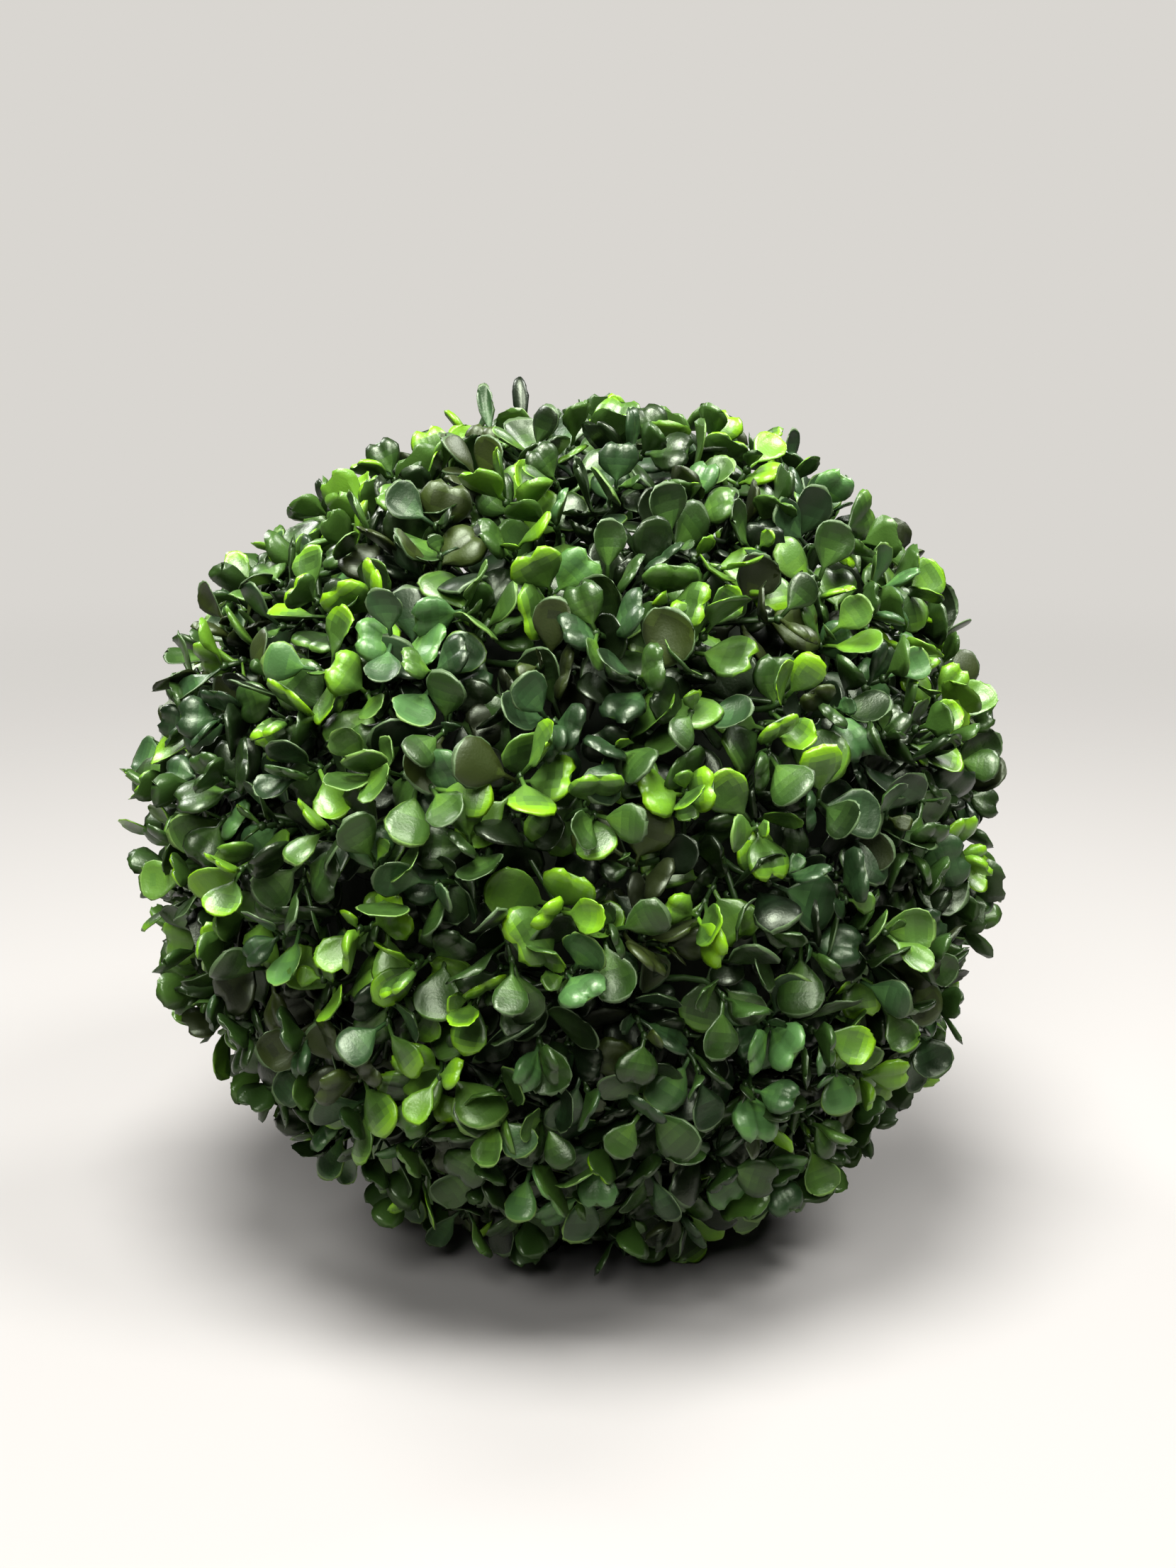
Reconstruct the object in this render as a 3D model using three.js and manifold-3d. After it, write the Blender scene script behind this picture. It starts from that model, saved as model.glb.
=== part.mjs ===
// An artificial box ball, 280 mm across, that stands on its own leaves.
//
// Two moulded half shells make the core. Bosses stand out of them in rows, and each boss carries
// one spray. A spray's stem ends inside a low block of inner leaves, which fills the foot of the
// spray's wedge of the ball. Four twigs fork from the stem and stand out of that block, and the
// outer leaves sit on them in pairs. A leaf that would leave the wedge, or cut through another, is
// turned, leant or made smaller, or left out, so no two sprays touch. A stem's foot stands a small
// gap clear of its boss. The lowest leaves lie pressed flat on the surface that the ball stands on.
//
// Millimetres, +Z up. The origin lies on that surface, under the middle of the ball.

import * as THREE from 'three';
import { mergeVertices } from 'three/addons/utils/BufferGeometryUtils.js';
import Module from 'manifold-3d';

const wasm = await Module();
wasm.setup();

// ---- Driving dimensions, in millimetres and degrees. A pair of values is a range to draw from.

const BALL_RADIUS = 140;                      // from the middle to the clipped leaf tips
const ROUGHNESS = 3.5;                        // how far a leaf may stand out past that
const SETTLING = 4;                           // how far the ball sinks into its lowest leaves
const CLEARANCE = 0.3;                        // gap between pieces that meet

const SHELL_RADIUS = 90;
const SHELL_WALL = 2.6;
const SHELL_SECTORS = 16;                     // flats round the shell
const SHELL_RINGS = 4;                        // flats from its rim to its pole
const BOSS_HEIGHT = 5;
const BOSS_FOOT = 4.4;                        // to a corner of its three-sided foot, on the shell
const BOSS_HEAD = 3.6;                        // and of its head
const BOSS_ROOT = 4.4;                        // how deep it is sunk in the shell

const BLOCK_INNER_RADIUS = 103;               // of the block of inner leaves, at its rims
const BLOCK_OUTER_RADIUS = 114;
const BLOCK_INNER_SHARE = 0.96;               // how far each rim reaches towards the wedge's edge
const BLOCK_OUTER_SHARE = 0.86;
const CORNER_STEP = 4;                        // between the turns tried for the block's corners

const STEM_TOP = 109;                         // radius where the stem ends, inside that block
const STEM_RADIUS = 3;                        // to a corner of its three-sided section
const TWIGS = 4;
const TWIG_RADIUS = 1.2;
const TWIG_TIP_RADIUS = 1.7;
const FORK_DROP = 4;                          // from the stem's top down to its first fork
const FORK_STEP = 1;                          // from one fork down to the next
const TWIG_TURN = [-12, 12];                  // how far a twig strays from even places
const TWIG_SPREAD = [8.6, 12.6];              // angle between a twig's tip and its stem, at the middle
const TWIG_WEDGE_SHARE = 0.7;                 // and at most this share of the way to the wedge's edge
const TWIG_END_DEPTH = [17, 21.5];            // from the ball's surface in to a twig's tip

const LEAF_LENGTH = [25.2, 30.8];
const LEAF_WIDTH = 24;
const LEAF_THICKNESS = 2;
const LEAF_ROOT = 0.4;                        // how far a leaf's neck runs past its twig's axis
const NECK_DEPTH = 2.4;                       // from a twig's tip back to its last leaf
const NECK_STEP = 1;                          // from one leaf to the next, along their twig
const LEAVES_ON_TWIG = 2;
const THIRD_LEAF_SHARE = 0.22;                // of the twigs, that carry one leaf more
const HEART_SHARE = 0.5;                      // of the leaves, that are hearts
const LEAF_LEAN = [55, 69];                   // between a leaf and its twig
const LEAF_TURN = [-25, 25];                  // how far a pair of leaves strays from level
const TOUCH = 0.1;                            // cubic millimetres that two leaves may share

// What is tried to fit a leaf in, from the first: its size, more lean, and a swing round its twig.
const LEAF_SIZES = [1, 0.88, 0.76];
const LEAF_TILTS = [0, 12, -12, 24, -24];
const LEAF_SWINGS = [0, 20, -20, 40, -40, 60, -60];

// Rows of sprays from the rim of a half shell to its pole.
const ROWS = [
  { name: 'girdle', elevation: 12.5, count: 10 },
  { name: 'shoulder', elevation: 37, count: 8 },
  { name: 'crown', elevation: 62, count: 5 },
  { name: 'pole', elevation: 90, count: 1 },
];
const HALVES = [
  { name: 'upper', sign: 1, twist: 0 },
  { name: 'lower', sign: -1, twist: 0.5 },    // turned by half a place, so its rows interlock
];

// Leaves that stand up above the rest: where their tips are, and how far out.
const TALL_LEAVES = [
  { azimuth: 164, elevation: 79, reach: 147 },
  { azimuth: 152, elevation: 83.5, reach: 148 },
];
const TALL_LEAF_LENGTH = 20;
const TALL_LEAF_WIDTH = 8;
const TALL_LEAF_BACK = 5;                     // how far its tip stands behind its foot

const MIDDLE = new THREE.Vector3(0, 0, BALL_RADIUS - SETTLING);

// Draws are numbered: a spray's own, its twigs' (from this number on), and its leaves'. Another
// seed grows another ball of the same kind.
const SEED = 2100;
const DRAW_TONE = 1;
const DRAW_START = 2;
const DRAW_THIRD_LEAF = 5;
const DRAW_LEAF = 10;
const DRAW_TWIG_TURN = 30;
const DRAW_TWIG_SPREAD = 40;
const DRAW_TWIG_END = 50;
const DRAW_LEAF_TURN = 60;

// ---- Materials

const CORE_PLASTIC = new THREE.MeshStandardMaterial({ color: 0x20281c, roughness: 0.55, metalness: 0 });
const DEEP_LEAF = new THREE.MeshStandardMaterial({ color: 0x35472a, roughness: 0.42, metalness: 0 });
const FRESH_LEAF = new THREE.MeshStandardMaterial({ color: 0x5f8c2b, roughness: 0.42, metalness: 0 });
const FRESH_SHARE = 0.3;                      // of the sprays, that are in the lighter green

// ---- Small helpers

/** A repeatable number from 0 to 1: the same for the same spray and item, with no visible pattern. */
function chance(spray, item) {
  const wave = Math.sin((spray + SEED) * 12.9898 + item * 78.233) * 43758.5453;
  return wave - Math.floor(wave);
}

/** The value at a share of the way through a range. */
function within([low, high], share) {
  return THREE.MathUtils.lerp(low, high, share);
}

/** The unit vector at an azimuth, counted from +X, and an elevation, both in degrees. */
function bearing(azimuth, elevation) {
  const turn = THREE.MathUtils.degToRad(azimuth);
  const rise = THREE.MathUtils.degToRad(elevation);
  return new THREE.Vector3(
    Math.cos(rise) * Math.cos(turn),
    Math.cos(rise) * Math.sin(turn),
    Math.sin(rise),
  );
}

/** The unit vectors out, east and north of a point on a ball, from its offset to the middle. */
function compass(offset) {
  const out = offset.clone().normalize();
  const isUpright = Math.abs(out.z) > 0.999;
  const spin = isUpright ? new THREE.Vector3(0, 1, 0) : new THREE.Vector3(0, 0, 1);
  const east = spin.cross(out).normalize();
  const north = out.clone().cross(east);
  return { out, east, north };
}

/** The vector along the ball's surface at this compass, turned from east by an angle in degrees. */
function along({ east, north }, turn) {
  return swung(east, north, THREE.MathUtils.degToRad(turn));
}

/** A unit vector swung towards another, square to it, by an angle in radians. */
function swung(unit, sideways, angle) {
  return unit.clone().multiplyScalar(Math.cos(angle)).addScaledVector(sideways, Math.sin(angle));
}

/** The point at an offset from the middle. */
function lifted(offset) {
  return offset.clone().add(MIDDLE);
}

/** A closed geometry as a solid for joining and cutting. */
function solidOf(geometry) {
  const bare = geometry.clone();
  bare.deleteAttribute('normal');
  bare.deleteAttribute('uv');
  const merged = mergeVertices(bare, 1e-4);
  const vertProperties = new Float32Array(merged.attributes.position.array);
  const triVerts = new Uint32Array(merged.index.array);
  return new wasm.Manifold(new wasm.Mesh({ numProp: 3, vertProperties, triVerts }));
}

/** A named mesh from a solid. */
function meshOf(solid, name, material) {
  const { vertProperties, triVerts } = solid.getMesh();
  const geometry = new THREE.BufferGeometry();
  geometry.setAttribute('position', new THREE.BufferAttribute(new Float32Array(vertProperties), 3));
  geometry.setIndex(new THREE.BufferAttribute(new Uint32Array(triVerts), 1));
  geometry.computeVertexNormals();
  const mesh = new THREE.Mesh(geometry, material);
  mesh.name = name;
  return mesh;
}

/**
 * A closed solid from a ring of points to an end: a ring of as many points, or a single peak. Seen
 * from the end, the ring runs anticlockwise.
 */
function solidBetween(ring, end) {
  const count = ring.length;
  const index = [];
  for (let i = 0; i < count; i += 1) {
    const next = (i + 1) % count;
    if (end.length === 1) index.push(i, next, count);
    else index.push(i, next, count + next, i, count + next, count + i);
  }
  for (let i = 2; i < count; i += 1) {
    index.push(1, (i + 1) % count, i);
    if (end.length > 1) index.push(count + 1, count + i, count + ((i + 1) % count));
  }
  const geometry = new THREE.BufferGeometry().setFromPoints([...ring, ...end]);
  geometry.setIndex(index);
  return solidOf(geometry);
}

/** A tapered three-sided rod with flat ends between two points. One of its sides faces a turn. */
function rod(from, to, startRadius, endRadius, turn = 0) {
  const axis = compass(to.clone().sub(from));
  const ringAt = (centre, radius) => [60, 180, 300].map((corner) => (
    centre.clone().addScaledVector(along(axis, turn + corner), radius)));
  return solidBetween(ringAt(from, startRadius), ringAt(to, endRadius));
}

// ---- Where the sprays stand

/** Every spray's half, name and direction from the middle. */
function layOut() {
  const sprays = [];
  for (const half of HALVES) {
    for (const row of ROWS) {
      for (let place = 0; place < row.count; place += 1) {
        const azimuth = (360 * (place + half.twist + row.elevation / 90)) / row.count;
        const number = String(place + 1).padStart(2, '0');
        sprays.push({
          half,
          number: sprays.length + 1,
          name: `spray_${half.name}_${row.name}_${number}`,
          direction: bearing(azimuth, half.sign * row.elevation),
        });
      }
    }
  }
  return sprays;
}

/** True if an offset from the middle lies in the spray's own wedge, by more than a margin. */
function inWedge(offset, spray, sprays, margin) {
  return sprays.every((other) => {
    if (other === spray) return true;
    const across = spray.direction.clone().sub(other.direction);
    return across.dot(offset) > margin * across.length();
  });
}

/** The angle at the middle from a spray's stem to the edge of its wedge, going sideways from it. */
function wedgeAngle(spray, sprays, sideways) {
  return sprays.reduce((least, other) => {
    const across = spray.direction.clone().sub(other.direction);
    const fall = -across.dot(sideways);
    return fall > 1e-9 ? Math.min(least, Math.atan(across.dot(spray.direction) / fall)) : least;
  }, Math.PI / 2);
}

/** The turns, in degrees, in which a spray's wedge has its corners. */
function wedgeCorners(spray, sprays) {
  const axis = compass(spray.direction);
  const angleAt = (turn) => wedgeAngle(spray, sprays, along(axis, turn));
  return Array.from({ length: 360 / CORNER_STEP }, (_, i) => i * CORNER_STEP).filter((turn) => (
    angleAt(turn) > angleAt(turn - CORNER_STEP) && angleAt(turn) >= angleAt(turn + CORNER_STEP)));
}

// ---- The core

/** One half of the core: an open bowl with a boss for each of its sprays. */
function halfShell(half, sprays) {
  const profile = [];
  const arc = (radius, from, to) => {
    for (let step = 0; step <= SHELL_RINGS; step += 1) {
      const angle = THREE.MathUtils.lerp(from, to, step / SHELL_RINGS);
      const height = Math.max(radius * Math.sin(angle), CLEARANCE / 2);
      profile.push(new THREE.Vector2(radius * Math.cos(angle), height));
    }
  };
  arc(SHELL_RADIUS, 0, Math.PI / 2);
  arc(SHELL_RADIUS - SHELL_WALL, Math.PI / 2, 0);
  for (const end of [SHELL_RINGS, SHELL_RINGS + 1]) profile[end].x = 0;
  profile.push(profile[0].clone());
  const bowl = new THREE.LatheGeometry(profile, SHELL_SECTORS);
  bowl.rotateX((half.sign * Math.PI) / 2);
  bowl.translate(0, 0, MIDDLE.z);
  let solid = solidOf(bowl);
  for (const { direction } of sprays.filter((spray) => spray.half === half)) {
    const foot = lifted(direction.clone().multiplyScalar(SHELL_RADIUS - BOSS_ROOT));
    const head = lifted(direction.clone().multiplyScalar(SHELL_RADIUS + BOSS_HEIGHT));
    solid = solid.add(rod(foot, head, BOSS_FOOT, BOSS_HEAD));
  }
  return solid;
}

// ---- A leaf

// A spoon is a leaf with a blunt round tip, and a heart has two lobes with a notch between them, at
// the tip. Each gives its share of a leaf's length and width, then its rim, as shares of its length
// and half width: up one flank, and what lies at the tip. The other flank is the mirror of the first.
const SPOON = { length: 1, width: 0.9, flank: [[0.2, 0.13], [0.6, 1], [1, 0.5]], tip: [] };
const HEART = { length: 0.92, width: 1.06, flank: [[0.2, 0.13], [0.56, 1], [1, 0.56]], tip: [[0.84, 0]] };
const PEAK = 0.55;                            // where a blade is thickest, as a share of its length

/** Every point of a blade's rim, from the neck round to it again. */
function rimOf({ flank, tip }, length) {
  const mirrored = flank.map(([x, y]) => [x, -y]).reverse();
  return [[-LEAF_ROOT / length, 0], ...flank, ...tip, ...mirrored];
}

/**
 * The corners of a blade: its rim, then its peak. It starts at a point on a twig, points ahead and
 * shows its face outwards. A heart bulges outwards and a spoon inwards.
 */
function bladeCorners(base, ahead, { length, width, shape }) {
  const face = base.clone().normalize();
  const side = shape === HEART ? 1 : -1;
  const across = ahead.clone().cross(face).normalize().multiplyScalar(side);
  const up = across.clone().cross(ahead).multiplyScalar(side);
  const point = (x, y, height) => base.clone()
    .addScaledVector(ahead, x * length)
    .addScaledVector(across, y * (width / 2))
    .addScaledVector(up, height);
  const rim = rimOf(shape, length).map(([x, y]) => point(x, y, 0));
  const corners = [...rim, point(PEAK, 0, side * LEAF_THICKNESS)];
  // Nothing reaches below the surface: a leaf that would is pressed flat on it.
  corners.forEach((corner, index) => {
    const isPeak = index === corners.length - 1;
    const lift = isPeak === (side > 0) ? 0 : LEAF_THICKNESS;
    corner.z = Math.max(corner.z, lift - MIDDLE.z);
  });
  return corners;
}

/** A blade as a solid: a low pyramid on its rim. */
function blade(corners) {
  const points = corners.map(lifted);
  return solidBetween(points.slice(0, -1), points.slice(-1));
}

// ---- A spray

/** The inner leaves, packed too close to see between: a low block that fills the wedge's foot. */
function innerLeaves(spray, sprays) {
  const axis = compass(spray.direction);
  const turns = wedgeCorners(spray, sprays);
  const ringAt = (radius, share) => turns.map((turn) => {
    const sideways = along(axis, turn);
    const angle = share * wedgeAngle(spray, sprays, sideways);
    return lifted(swung(axis.out, sideways, angle).multiplyScalar(radius));
  });
  return solidBetween(
    ringAt(BLOCK_INNER_RADIUS, BLOCK_INNER_SHARE),
    ringAt(BLOCK_OUTER_RADIUS, BLOCK_OUTER_SHARE),
  );
}

/** The first way to set a leaf that keeps it in its wedge and out of its neighbours, if any. */
function settle(base, axis, leaf, spray, sprays, taken) {
  for (const size of LEAF_SIZES) {
    for (const tilt of LEAF_TILTS) {
      for (const swing of LEAF_SWINGS) {
        const round = along(compass(axis), leaf.turn + swing);
        const ahead = swung(axis, round, THREE.MathUtils.degToRad(leaf.lean + tilt));
        const corners = bladeCorners(base, ahead, {
          length: leaf.length * size,
          width: leaf.width * size,
          shape: leaf.shape,
        });
        const fits = corners.every((corner) => corner.length() < BALL_RADIUS + ROUGHNESS
          && inWedge(corner, spray, sprays, CLEARANCE * 0.7));
        if (fits) {
          const solid = blade(corners);
          if (taken.every((other) => solid.intersect(other).volume() < TOUCH)) return solid;
        }
      }
    }
  }
  return null;
}

/** The twigs that fork from a spray's stem: where each ends, how it lies, and its solid. */
function growTwigs(spray, sprays) {
  const { direction, number } = spray;
  const axis = compass(direction);
  return Array.from({ length: TWIGS }, (_, k) => {
    const turn = 360 * (chance(number, DRAW_START) + k / TWIGS)
      + within(TWIG_TURN, chance(number, DRAW_TWIG_TURN + k));
    const sideways = along(axis, turn);
    const angle = Math.min(
      THREE.MathUtils.degToRad(within(TWIG_SPREAD, chance(number, DRAW_TWIG_SPREAD + k))),
      TWIG_WEDGE_SHARE * wedgeAngle(spray, sprays, sideways),
    );
    const fork = direction.clone().multiplyScalar(STEM_TOP - FORK_DROP - FORK_STEP * k);
    const depth = within(TWIG_END_DEPTH, chance(number, DRAW_TWIG_END + k));
    const end = swung(direction, sideways, angle).multiplyScalar(BALL_RADIUS - depth);
    const ahead = end.clone().sub(fork).normalize();
    const { east, north } = compass(ahead);
    const level = direction.clone().cross(sideways);
    const leafTurn = THREE.MathUtils.radToDeg(Math.atan2(level.dot(north), level.dot(east)))
      + within(LEAF_TURN, chance(number, DRAW_LEAF_TURN + k));
    const solid = rod(lifted(fork), lifted(end), TWIG_RADIUS, TWIG_TIP_RADIUS, leafTurn);
    return { ahead, end, leafTurn, solid };
  });
}

/** The leaves of one twig, as solids, clear of the limbs and leaves that are already there. */
function growLeaves(twig, k, spray, sprays, taken) {
  const draw = (item) => chance(spray.number, item);
  const count = LEAVES_ON_TWIG + (draw(DRAW_THIRD_LEAF + k) < THIRD_LEAF_SHARE ? 1 : 0);
  const leaves = [];
  for (let place = 0; place < count; place += 1) {
    const item = DRAW_LEAF + TWIGS * k + place;
    const shape = draw(item) < HEART_SHARE ? HEART : SPOON;
    const leaf = {
      turn: twig.leafTurn + (360 / count) * place,
      lean: within(LEAF_LEAN, draw(item + 0.3)),
      length: within(LEAF_LENGTH, draw(item + 0.5)) * shape.length,
      width: LEAF_WIDTH * shape.width,
      shape,
    };
    const base = twig.end.clone().addScaledVector(twig.ahead, -NECK_DEPTH - NECK_STEP * place);
    const solid = settle(base, twig.ahead, leaf, spray, sprays, [...taken, ...leaves]);
    if (solid) leaves.push(solid);
  }
  return leaves;
}

/** The twig and leaf of each tall leaf that stands in this spray's wedge. */
function growTallLeaves(spray, sprays) {
  return TALL_LEAVES.flatMap(({ azimuth, elevation, reach }) => {
    const tip = bearing(azimuth, elevation).multiplyScalar(reach);
    if (!inWedge(tip, spray, sprays, TALL_LEAF_WIDTH / 2)) return [];
    const foot = tip.clone().setLength(reach - TALL_LEAF_LENGTH);
    foot.y -= TALL_LEAF_BACK;
    const fork = spray.direction.clone().multiplyScalar(STEM_TOP);
    const neck = foot.clone().addScaledVector(foot.clone().sub(fork).normalize(), -NECK_DEPTH);
    const corners = bladeCorners(neck, tip.clone().sub(neck).normalize(), {
      length: tip.distanceTo(neck),
      width: TALL_LEAF_WIDTH,
      shape: SPOON,
    });
    return [rod(lifted(fork), lifted(foot), TWIG_RADIUS, TWIG_TIP_RADIUS), blade(corners)];
  });
}

/** One spray: a stem, its twigs, and leaves in pairs, standing out of the inner leaves. */
function growSpray(spray, sprays) {
  const at = (radius) => lifted(spray.direction.clone().multiplyScalar(radius));
  const start = 360 * chance(spray.number, DRAW_START);
  const footRadius = SHELL_RADIUS + BOSS_HEIGHT + CLEARANCE;
  const stem = rod(at(footRadius), at(STEM_TOP), STEM_RADIUS, STEM_RADIUS, start);
  const twigs = growTwigs(spray, sprays);
  const leaves = [];
  twigs.forEach((twig, k) => {
    const otherTwigs = twigs.filter((other) => other !== twig).map((other) => other.solid);
    leaves.push(...growLeaves(twig, k, spray, sprays, [stem, ...otherTwigs, ...leaves]));
  });
  const pieces = [stem, ...twigs.map((twig) => twig.solid), ...leaves, ...growTallLeaves(spray, sprays)];
  return pieces.reduce((whole, piece) => whole.add(piece), innerLeaves(spray, sprays));
}

// ---- The ball

const ball = new THREE.Group();
ball.name = 'box_ball';
const sprays = layOut();
for (const half of HALVES) {
  ball.add(meshOf(halfShell(half, sprays), `core_${half.name}_half`, CORE_PLASTIC));
}
for (const spray of sprays) {
  const material = chance(spray.number, DRAW_TONE) < FRESH_SHARE ? FRESH_LEAF : DEEP_LEAF;
  ball.add(meshOf(growSpray(spray, sprays), spray.name, material));
}

export default ball;
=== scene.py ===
# %% [markdown]
# # An artificial box ball
#
# The real thing is a clipped ball of box made of moulded polyethylene. Two dark half shells make
# its core. Sprays of twigs are plugged on them all round, and each twig ends in a few pairs of
# leaves. The CAD model holds the core and one solid for each spray, with a few large leaves. Here
# each spray is grown again by the same rule and carried on to finer twigs, with leaves at their
# real size.
#
# Lengths are in millimetres, as in the rule that is followed, and turn into metres only where a
# mesh is made.

import math

import bpy
import numpy as np
from mathutils import Matrix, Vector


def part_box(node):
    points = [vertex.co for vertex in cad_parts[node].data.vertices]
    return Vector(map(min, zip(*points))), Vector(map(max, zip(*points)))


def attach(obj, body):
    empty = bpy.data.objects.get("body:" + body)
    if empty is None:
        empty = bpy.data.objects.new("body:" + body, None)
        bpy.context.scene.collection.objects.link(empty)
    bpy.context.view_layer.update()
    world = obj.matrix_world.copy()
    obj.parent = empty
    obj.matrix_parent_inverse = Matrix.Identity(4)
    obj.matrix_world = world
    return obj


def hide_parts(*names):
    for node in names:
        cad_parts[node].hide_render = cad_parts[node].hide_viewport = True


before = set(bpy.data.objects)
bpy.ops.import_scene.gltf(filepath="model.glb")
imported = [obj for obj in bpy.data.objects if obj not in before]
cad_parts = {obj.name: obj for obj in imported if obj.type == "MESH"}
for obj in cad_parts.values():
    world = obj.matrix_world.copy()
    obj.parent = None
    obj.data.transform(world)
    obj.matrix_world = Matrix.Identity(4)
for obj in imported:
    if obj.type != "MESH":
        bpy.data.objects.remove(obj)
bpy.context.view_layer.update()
MM = 0.001

# %% [markdown]
# ## Where the ball is
#
# The two halves of the core meet on the ball's level middle plane, so the frame itself says how
# high the middle is. The clipped leaf tips lie on a ball of 140 mm radius round it.

# %% The middle of the ball
core_upper = np.array(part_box("core_upper_half")) / MM
core_lower = np.array(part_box("core_lower_half")) / MM
MIDDLE = np.array([0.0, 0.0, (core_upper[0, 2] + core_lower[1, 2]) / 2])
BALL_RADIUS = 140.0
ROUGHNESS = 5.0                                # how far a leaf may stand out past that
print("middle at", MIDDLE.round(2), "mm")

# %% [markdown]
# ## The camera
#
# The ball stands on a shelf and is seen from a little above. The lens is just under 50 mm on a
# frame 36 mm high, and the camera stands about five radii away. It is aimed a little above the
# ball's middle, so the ball sits low in the frame.

# %% Set the camera
EYE = MIDDLE + np.array([0.0, -693.0, 183.0])
AIM = MIDDLE + np.array([4.3, 0.0, 14.1])
FRAME_HEIGHT, LENS = 36, 49.7


def unit(vectors):
    """The vectors at length 1."""
    return vectors / np.linalg.norm(vectors, axis=-1, keepdims=True)


ahead = unit(AIM - EYE)
right = unit(np.cross(ahead, [0, 0, 1]))
look = np.stack([right, np.cross(right, ahead), -ahead], axis=1)
camera = bpy.data.objects.new("camera", bpy.data.cameras.new("camera"))
camera.data.sensor_fit = "VERTICAL"
camera.data.sensor_height = FRAME_HEIGHT
camera.data.lens = LENS
camera.location = EYE * MM
camera.rotation_euler = Matrix(look.tolist()).to_euler()
bpy.context.collection.objects.link(camera)
bpy.context.scene.camera = camera
print("camera at", (EYE * MM).round(3), "m")

# %% [markdown]
# ## The rule that places the sprays
#
# Sprays stand in rows from the rim of a half shell to its pole, and the lower half is turned by
# half a place so that its rows interlock with the upper ones. A small formula gives repeatable
# numbers that look random, so the same ball grows every time. Blender's own random numbers would
# not do: the CAD model was grown outside Blender, and both have to come to the same twigs.

# %% Lay out the sprays
SEED = 2100
ROWS = [("girdle", 12.5, 10), ("shoulder", 37, 8), ("crown", 62, 5), ("pole", 90, 1)]
HALVES = [("upper", 1, 0.0), ("lower", -1, 0.5)]


def chance(spray, item):
    """Repeatable numbers from 0 to 1: the digits after the point of a large multiple of a sine."""
    wave = np.sin((spray + SEED) * 12.9898 + item * 78.233) * 43758.5453
    return wave - np.floor(wave)


def within(low, high, share):
    """The values at a share of the way from low to high."""
    return low + (high - low) * share


def bearing(azimuth, elevation):
    """Unit vectors at an azimuth, counted from +X, and an elevation, both in degrees."""
    turn, rise = np.radians(azimuth), np.radians(elevation)
    return np.stack([np.cos(rise) * np.cos(turn), np.cos(rise) * np.sin(turn), np.sin(rise)], axis=-1)


def compass(out):
    """For each unit vector out, the two unit vectors square to it: east and north on the ball."""
    upright = np.abs(out[..., 2:]) > 0.999
    spin = np.where(upright, [0.0, 1.0, 0.0], [0.0, 0.0, 1.0])
    east = unit(np.cross(spin, out))
    return east, np.cross(out, east)


def swung(vectors, sideways, angle):
    """Unit vectors swung towards others, square to them, by an angle in radians."""
    return vectors * np.cos(angle)[..., None] + sideways * np.sin(angle)[..., None]


spray_names, spray_out = [], []
for half, sign, twist in HALVES:
    for row, elevation, count in ROWS:
        place = np.arange(count)
        azimuth = 360 * (place + twist + elevation / 90) / count
        spray_out.append(bearing(azimuth, np.full(count, sign * elevation)))
        spray_names += [f"spray_{half}_{row}_{number + 1:02d}" for number in place]
spray_out = np.concatenate(spray_out)
spray_number = np.arange(1, len(spray_names) + 1)
print("sprays:", len(spray_names), "all in the frame:", set(spray_names) <= set(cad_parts))

# %% [markdown]
# ## Stems and main twigs
#
# Each spray has one stem, whose foot stands a hair clear of its boss on the core. Four twigs fork
# from it. A twig leans out by its own angle, but never more than a set share of the way to the
# edge of its spray's wedge: the edge lies where another spray is as near.

# %% Grow the stems and main twigs
STEM_TOP = 109.0
FOOT = 95.3
FORK_DROP, FORK_STEP = 4.0, 1.0
TWIGS = 4
TWIG_TURN = (-12, 12)
TWIG_SPREAD = (8.6, 12.6)
TWIG_WEDGE_SHARE = 0.7
TWIG_END_DEPTH = (17, 21.5)
DRAW_TONE, DRAW_START, DRAW_TWIG_TURN, DRAW_TWIG_SPREAD, DRAW_TWIG_END = 1, 2, 30, 40, 50


def wedge_angle(out, sideways):
    """The angle from each spray's stem to the edge of its wedge, going sideways: across the plane
    midway to another spray, the two are as near, and the first such plane that is met counts."""
    across = out[:, None] - out[None]
    rise = np.einsum("soc,sc->so", across, out)
    fall = -np.einsum("soc,skc->sko", across, sideways)
    edge = np.where(fall > 1e-9, np.arctan2(rise[:, None], np.maximum(fall, 1e-9)), np.pi / 2)
    return edge.min(axis=-1)


number = spray_number[:, None]
k = np.arange(TWIGS)[None]
turn = np.radians(360 * (chance(number, DRAW_START) + k / TWIGS)
                  + within(*TWIG_TURN, chance(number, DRAW_TWIG_TURN + k)))
east, north = compass(spray_out)
sideways = swung(east[:, None], north[:, None], turn)
lean = np.minimum(np.radians(within(*TWIG_SPREAD, chance(number, DRAW_TWIG_SPREAD + k))),
                  TWIG_WEDGE_SHARE * wedge_angle(spray_out, sideways))
twig_fork = spray_out[:, None] * (STEM_TOP - FORK_DROP - FORK_STEP * k)[..., None]
twig_depth = within(*TWIG_END_DEPTH, chance(number, DRAW_TWIG_END + k))
twig_end = swung(spray_out[:, None], sideways, lean) * (BALL_RADIUS - twig_depth)[..., None]
print("main twigs:", twig_end.shape[0] * twig_end.shape[1])

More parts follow.
